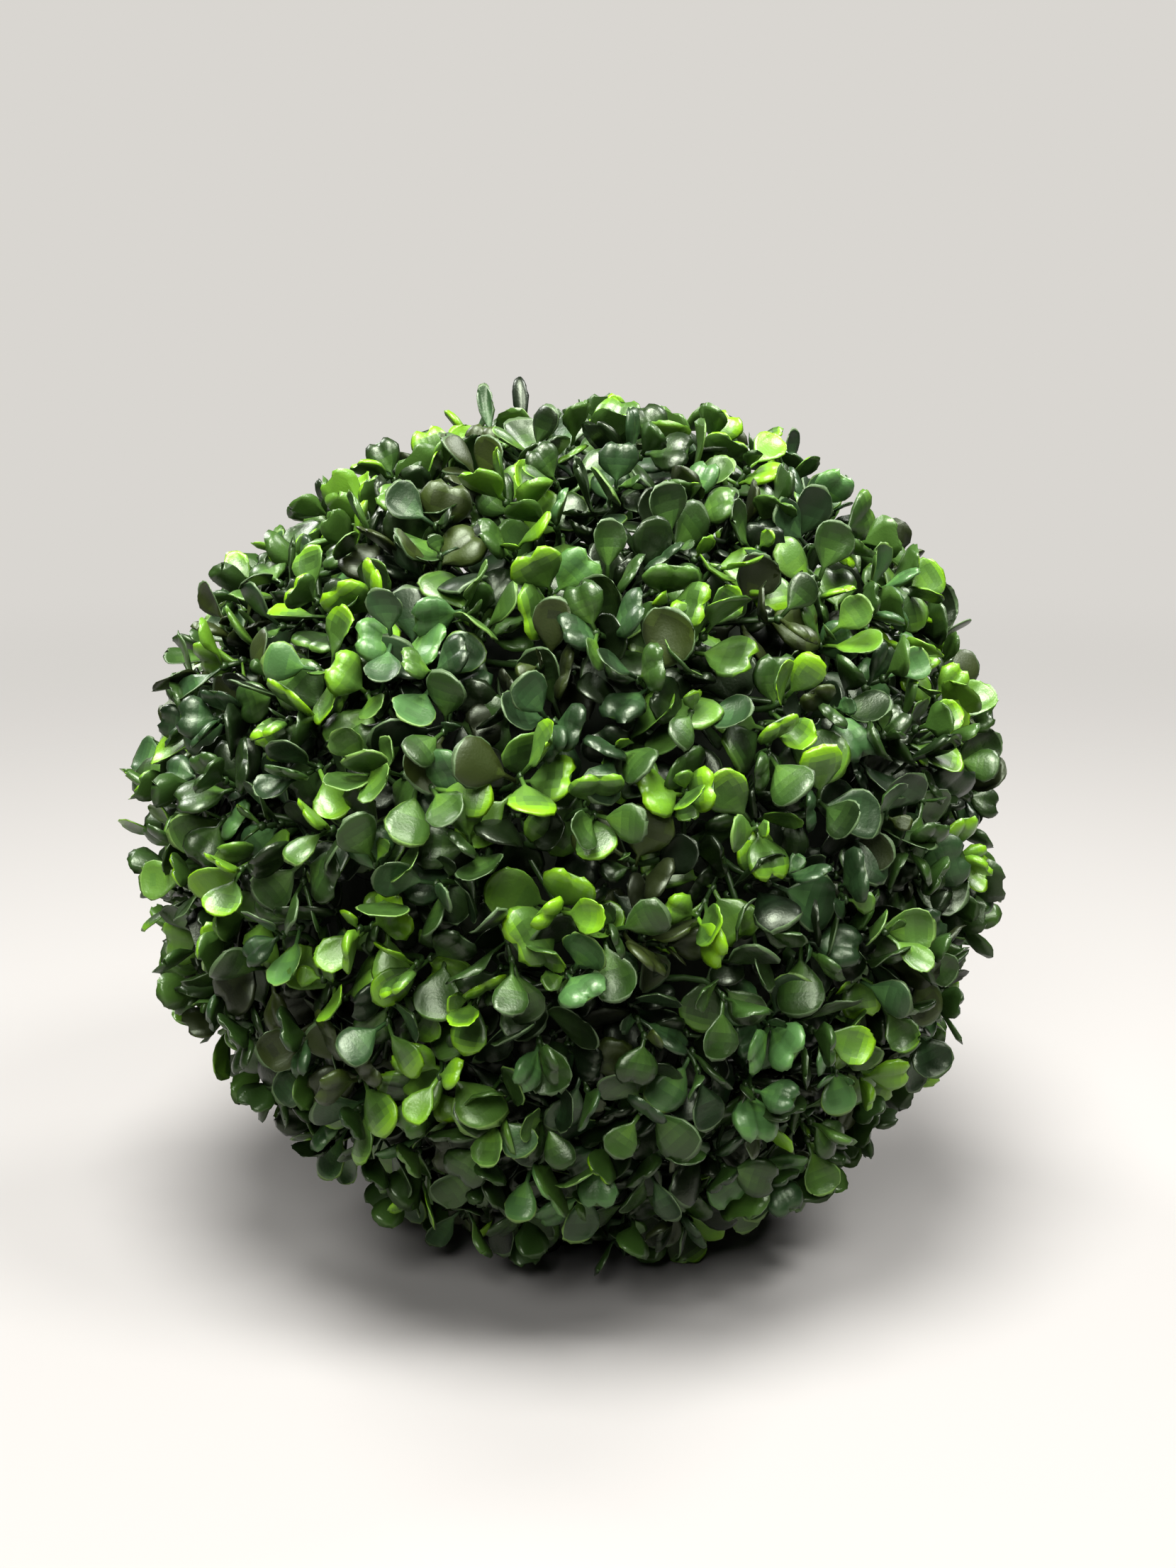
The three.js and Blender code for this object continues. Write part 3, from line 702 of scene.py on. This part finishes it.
MARKED = 0.5                                   # a leaf with less of its markings left under the painted shade has no pale rim
UNDER_GAIN = 0.04                              # how much paler the underside is
COOL_SHARE = 0.40                              # of the fine twigs, whose green is bluer
FRESH_SPRAYS = 0.3                             # their share of all sprays

spray_fresh = chance(spray_number, DRAW_TONE) < FRESH_SPRAYS
tip_fresh = spray_fresh[tip_spray]
listed = bearing(*np.array(YOUNG_SPOTS, dtype=float).T)
drawn = spread(SPOTS_ELSEWHERE)
drawn = unit(drawn + rng.normal(0, SPOT_SHAKE, drawn.shape))
spots = np.concatenate([listed, drawn[drawn[:, 1] > SEEN_FIRST]])
reach = np.cos(np.radians(within(*SPOT_RADIUS, rng.random(len(spots)))))
leaf_middle = unit(leaf_base + leaf_ahead * (leaf_length / 2)[:, None])
leaf_young = (leaf_middle @ spots.T > reach).any(axis=1)
tip_young = (tip_out @ spots.T > reach).any(axis=1)


def family_of(young, fresh):
    """A family for each, by the shares that hold for young leaves, fresh sprays and the others."""
    shares = np.where(young[:, None], YOUNG_SHARE, np.where(fresh[:, None], FRESH_SHARE, OLD_SHARE))
    return (rng.random(len(young))[:, None] > shares.cumsum(axis=1)).sum(axis=1).clip(0, len(FAMILIES) - 1)


tip_family = family_of(tip_young, tip_fresh)
own_family = family_of(leaf_young, tip_fresh[leaf_tip])
leaf_family = np.where(rng.random(count) < OWN_SHARE, own_family, tip_family[leaf_tip])
# Painted shade: the tall leaves stand against the light, so they get the dark family and, by their pair, the
# painted shade of deep leaves.
leaf_family[is_tall] = DARK
# Painted shade: the pairs deeper on a twig and the leaves of the inner fine twigs are made darker, and the
# top pair a little lighter.
leaf_painted_shade = PAIR_PAINTED_SHADE[leaf_pair] + INNER_PAINTED_SHADE * tip_inner[leaf_tip]
leaf_tone_and_painted_shade = rng.normal(0, LEAF_SPREAD, count) + leaf_painted_shade
leaf_marks_left_in_shade = (1 + MARK_LOSS * leaf_painted_shade).clip(0, 1)  # how much of its markings a leaf shows under the painted shade
tip_cool = rng.random(TIPS) < COOL_SHARE
leaf_cool = np.where(rng.random(count) < OWN_SHARE, rng.random(count) < COOL_SHARE, tip_cool[leaf_tip])
leaf_start = rng.normal(CRESCENT_START, CRESCENT_SPREAD, count)
leaf_slant = rng.normal(0, CRESCENT_SLANT, count)


def face_tones(kind, chosen):
    """The material of each face of the chosen leaves, all of one kind. On the upper side a tone rises or
    falls from its family's base by a glow along the middle behind the neck, by a crescent that is deep at
    the tip and thin along the flanks, and by a gain at the rim. The crescent grows with a mean of how near a
    face is to the tip and how near it is to the rim. Painted shade darkens the leaves deep inside, and all
    of these markings fade under it. The underside keeps to its base, a little paler, under the same painted
    shade."""
    family = leaf_family[chosen][:, None]
    s, v = ((grid[1:] + grid[:-1]) / 2 for grid in (STATIONS[kind], FLANKS[kind]))
    s, v = (grid.ravel()[None] for grid in np.meshgrid(s, v, indexing="ij"))
    along = (s - NECK[kind]) / (1 - NECK[kind])
    rim = np.maximum(np.abs(v), (s - WIDEST[kind]) / (1 - WIDEST[kind]))
    near = within(along, rim, EDGE_SHARE) + leaf_slant[chosen][:, None] * v
    crescent = smooth((near - leaf_start[chosen][:, None]) / CRESCENT_SOFT)
    glow = GLOW[family] * np.exp(-(v / GLOW_WIDTH) ** 2 - ((along - GLOW_PLACE) / GLOW_LENGTH) ** 2)
    marks = glow + TIP_GAIN[family] * crescent + RIM_GAIN[family] * rim ** 4 * smooth(along / 0.3)
    marks_left_in_shade = leaf_marks_left_in_shade[chosen][:, None]
    value = (BASE[family] + leaf_tone_and_painted_shade[chosen][:, None] + marks * marks_left_in_shade).clip(0, 1)
    upper = np.round(value * (GREEN_STEPS - 1))
    cool = COOL + np.round((value / COOL_TOP).clip(0, 1) * (COOL_STEPS - 1))
    upper = np.where(leaf_cool[chosen][:, None] & np.isin(family, (DARK, MIDDLE_GREEN)), cool, upper)
    upper = np.where(family == DULL_OLIVE, OLIVE + np.round(value * (OLIVE_STEPS - 1)), upper)
    # A pale rim only where the painted shade leaves enough of the markings.
    is_rim = (rim > RIM_FROM) & (along > 0) & (kind == SPOON) & (marks_left_in_shade > MARKED)
    upper = np.where(is_rim & np.isin(family, (DARK, DULL_OLIVE)), PALE, upper)
    upper = np.where(is_rim & (family == MIDDLE_GREEN), PALE + 1, upper)
    # The underside takes the same painted shade.
    below = (BASE[family] + UNDER_GAIN + leaf_painted_shade[chosen][:, None]).clip(0, 1)
    under = np.where(family == DULL_OLIVE, OLIVE + 1, np.round(below * (GREEN_STEPS - 1)))
    rest = len(LEAF_FACES[kind]) - upper.shape[1]
    return np.concatenate([upper, np.broadcast_to(under, (len(family), rest))], axis=1).astype(np.int32)


print("leaves of each family:", dict(zip(FAMILIES, np.bincount(leaf_family).tolist())))

# %% [markdown]
# ## From arrays to pieces
#
# A piece is joined from all the leaves of one kind on one half of the ball, in sprays of one
# colour. The lowest leaves would reach below the surface that the ball lies on, so they are pressed
# flat: heights under a millimetre or so shrink ever more towards zero, and keep their order.

# %% Make the leaf pieces
PRESS = 1.4


def pressed(points):
    """Points from the ball's middle as places in the frame, with the lowest ones pressed flat."""
    placed = points + MIDDLE
    low = PRESS * np.exp((np.minimum(placed[..., 2], PRESS) - PRESS) / PRESS)
    placed[..., 2] = np.where(placed[..., 2] < PRESS, low, placed[..., 2])
    return placed


def make_piece(name, points, faces, materials, face_material=None):
    """A smooth mesh in metres, from points in millimetres, that rides on the one body."""
    mesh = bpy.data.meshes.new(name)
    mesh.from_pydata((points.reshape(-1, 3) * MM).tolist(), [], faces)
    for material in materials:
        mesh.materials.append(material)
    if face_material is not None:
        mesh.polygons.foreach_set("material_index", face_material)
    mesh.shade_smooth()
    mesh.update()
    piece = bpy.data.objects.new(name, mesh)
    bpy.context.collection.objects.link(piece)
    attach(piece, "root")
    return piece


RAGGED = 0.17                                  # how uneven the flash at a rim is


def leaf_points(kind, chosen):
    """The points of the chosen leaves, all of one kind: worked out by leaf_shape, and then laid along
    each leaf's own ahead, across and face. Points on the rim are shaken, as the flash there is
    uneven."""
    stations, flanks = STATIONS[kind], FLANKS[kind]
    x, y, z, _ = leaf_shape(chosen, stations, flanks)
    upper = np.stack([x, y, z], axis=-1)
    on_rim = (np.abs(flanks) == 1) | (stations[:, None] == 1)
    on_rim &= stations[:, None] > WIDEST[kind] / 2
    upper[..., :2] += RAGGED * rng.normal(0, 1, upper[..., :2].shape) * on_rim[None, ..., None]
    x, y, _, z = leaf_shape(chosen, stations[UNDER_ROWS[kind]], UNDER_FLANKS)
    under = np.stack([x, y, z], axis=-1)
    points = np.concatenate([side.reshape(len(chosen), -1, 3) for side in (upper, under)], axis=1)
    axes = np.stack([leaf_ahead[chosen], leaf_across[chosen], leaf_face[chosen]], axis=1)
    return leaf_base[chosen][:, None] + points @ axes


def repeat_faces(faces, copies, points_each):
    """The faces of one shape for every copy, each copy's point numbers shifted past the last one's."""
    shift = (np.arange(copies) * points_each)[:, None]
    repeated = [(np.array(face)[None] + shift).tolist() for face in faces]
    return [face for copy in zip(*repeated) for face in copy]


upper_half = leaf_base[:, 2] > 0
for kind_number, kind_name in enumerate(KINDS):
    for half_name, in_half in (("upper", upper_half), ("lower", ~upper_half)):
        for colour, in_colour in (("deep", ~tip_fresh[leaf_tip]), ("fresh", tip_fresh[leaf_tip])):
            chosen = np.flatnonzero((leaf_kind == kind_number) & in_half & in_colour)
            points = pressed(leaf_points(kind_number, chosen))
            faces = repeat_faces(LEAF_FACES[kind_number], len(chosen), points.shape[1])
            piece = make_piece(f"{kind_name}_leaves_{half_name}_{colour}", points, faces, tones,
                               face_tones(kind_number, chosen).ravel())
            nodes = [name for name, fresh in zip(spray_names, spray_fresh)
                     if half_name in name and fresh == (colour == "fresh")]
            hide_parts(*nodes)
            print(piece.name, len(chosen), "leaves", len(faces), "faces")

# %% [markdown]
# ## Twigs
#
# Stems, main twigs and fine twigs are rods. A real one shows where the two halves of its mould met:
# a thin ridge of flash runs down each side. So a rod's section has six corners, and two opposite
# ones stand out. A bevelled curve could be such a rod too, but it would have to be made a mesh and
# joined with a few thousand others, and arrays give that at once.

# %% Make the twigs
FLASH = np.array([1.35, 0.95, 0.95, 1.35, 0.95, 0.95])


def rods(paths, radii):
    """Closed rods along paths: at each point of a path, six corners stand round it, square to the
    path. The corners' turn is kept by one fixed direction for each path."""
    copies, steps, _ = paths.shape
    tangent = unit(np.gradient(paths, axis=1))
    fixed = compass(unit(paths[:, -1] - paths[:, 0]))[0][:, None]
    side = unit(np.cross(tangent, fixed))
    other = np.cross(tangent, side)
    angle = np.arange(len(FLASH)) * 2 * np.pi / len(FLASH)
    ring = side[:, :, None] * np.cos(angle)[:, None] + other[:, :, None] * np.sin(angle)[:, None]
    points = paths[:, :, None] + ring * FLASH[:, None] * radii[:, None, None]
    grid = np.arange(steps * len(FLASH)).reshape(steps, -1)
    i, j = (cell.ravel() for cell in np.mgrid[0:steps - 1, 0:len(FLASH)])
    following = (j + 1) % len(FLASH)
    sides = np.stack([grid[i, j], grid[i, following], grid[i + 1, following], grid[i + 1, j]], axis=1)
    points = points.reshape(copies, -1, 3)
    return points, repeat_faces([*sides, grid[0, ::-1], grid[-1]], copies, points.shape[1])


def straight(start, end):
    """Straight paths of three points from starts to ends."""
    share = np.linspace(0, 1, 3)[None, :, None]
    return start[:, None] * (1 - share) + end[:, None] * share


COLLAR = 1.3                                   # half the length of the collar that holds a pair
FINE_RADII = [0.95, 0.85, 0.75, 0.70, 0.65, 0.60]
main_paths = straight(twig_fork.reshape(-1, 3), twig_end.reshape(-1, 3))
collar_tip, collar_pair = np.nonzero(has_pair)
collar_axis = tip_axis[collar_tip]
collar_middle = tip[collar_tip] - collar_axis * PAIR_DEPTH[collar_pair][:, None]
collar_paths = straight(collar_middle - collar_axis * COLLAR, collar_middle + collar_axis * COLLAR)
sets = [
    # name, paths, and the radii along each path
    ("stems", straight(spray_out * FOOT, spray_out * STEM_TOP), np.array([2.6, 2.2, 1.7])),
    ("main_twigs", main_paths, np.array([1.5, 1.3, 0.9])),
    ("fine_twigs", fine_paths, np.array(FINE_RADII)),
    ("tall_twigs", tall_paths, np.array([1.0, 0.7])),
    ("collars", collar_paths, np.array([0.7, 1.15, 0.6])),
]
for name, paths, radii in sets:
    points, faces = rods(paths, radii)
    piece = make_piece(name, pressed(points), faces, [twig_plastic])
    print(name, len(paths), "rods", len(faces), "faces")

# %% [markdown]
# ## The core
#
# The CAD halves of the core are the right shape already, and only show as darkness between the leaves. They
# stay, in a near-black, dull plastic: partly the dark plastic that they are moulded in, and partly painted
# shade for the gaps between the leaves.

# %% Finish the core
for name in ("core_upper_half", "core_lower_half"):
    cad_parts[name].material_slots[0].material = core_plastic_and_shade
    print(name, "is in", core_plastic_and_shade.name)

# %% [markdown]
# ## Floor and light
#
# A pale disc of paper takes the shadow and fades out into a pale surround, so there is no edge to
# draw the eye from any side. What the camera sees of the surround is brighter than the light that it
# gives, because a bright one would fill the dark gaps between the leaves. The light comes from soft
# studio lamps: a strong one overhead, two in front and two weak ones behind.

# %% Stage and light
FLOOR_RADIUS, FLOOR_FADE = 2.0, (0.3, 1.5)     # metres
STAGE_GREY = "#7c7a77"
SURROUND = "#d9d6d1"
SURROUND_LIGHT, SURROUND_STRENGTH = "#e6e3d9", 0.03
LAMP_AIM = np.array([0.0, 0.0, 0.14])

turns = np.linspace(0, 2 * np.pi, 96, endpoint=False)
floor_rim = np.stack([np.cos(turns), np.sin(turns), 0 * turns], axis=1) * FLOOR_RADIUS
floor_mesh = bpy.data.meshes.new("floor")
floor_mesh.from_pydata(floor_rim.tolist(), [], [list(range(len(turns)))])
paper = bpy.data.materials.new("studio_paper")
paper.use_nodes = True
tree = paper.node_tree
tree.nodes.clear()
place = add(tree, "ShaderNodeTexCoord", {}).outputs["Object"]
far = add(tree, "ShaderNodeVectorMath", {"Vector": place}, operation="LENGTH").outputs["Value"]
fade = add(tree, "ShaderNodeMapRange", {"Value": far, "From Min": FLOOR_FADE[0], "From Max": FLOOR_FADE[1]},
           interpolation_type="SMOOTHSTEP").outputs["Result"]
lit = add(tree, "ShaderNodeBsdfDiffuse", {"Color": linear(STAGE_GREY)}).outputs["BSDF"]
clear = add(tree, "ShaderNodeBsdfTransparent", {}).outputs["BSDF"]
faded = add(tree, "ShaderNodeMixShader", {0: fade, 1: lit, 2: clear}).outputs["Shader"]
add(tree, "ShaderNodeOutputMaterial", {"Surface": faded})
floor_mesh.materials.append(paper)
floor = bpy.data.objects.new("floor", floor_mesh)
bpy.context.collection.objects.link(floor)

LAMPS = [
    # name, place in metres, size in metres, power in watts
    ("overhead", (-0.15, -0.50, 1.7), 0.8, 100),
    ("second", (0.8, -0.6, 1.5), 0.45, 28),
    ("front", (-0.3, -1.6, 1.4), 0.8, 43),
    ("rear_left", (-1.1, 1.0, 1.4), 0.6, 31),
    ("rear_right", (1.1, 0.8, 1.4), 0.6, 31),
]
for name, place, size, power in LAMPS:
    data = bpy.data.lights.new(name, "AREA")
    data.shape = "DISK"
    data.size = size
    data.energy = power
    lamp = bpy.data.objects.new(name, data)
    back = unit(np.array(place) - LAMP_AIM)
    side = unit(np.cross([0.0, 1.0, 0.001], back))
    lamp.rotation_euler = Matrix(np.stack([side, np.cross(back, side), back], axis=1).tolist()).to_euler()
    lamp.location = place
    bpy.context.collection.objects.link(lamp)

world = bpy.data.worlds.new("studio")
world.use_nodes = True
tree = world.node_tree
tree.nodes.clear()
seen_first = add(tree, "ShaderNodeLightPath", {}).outputs["Is Camera Ray"]
light = add(tree, "ShaderNodeBackground", {"Color": linear(SURROUND_LIGHT), "Strength": SURROUND_STRENGTH})
seen = add(tree, "ShaderNodeBackground", {"Color": linear(SURROUND), "Strength": 1.0})
either = add(tree, "ShaderNodeMixShader", {0: seen_first, 1: light.outputs[0], 2: seen.outputs[0]})
add(tree, "ShaderNodeOutputWorld", {"Surface": either.outputs["Shader"]})
bpy.context.scene.world = world
bpy.context.scene.view_settings.view_transform = "Standard"
print("lamps:", len(LAMPS), "with", sum(lamp[-1] for lamp in LAMPS), "watts in all")
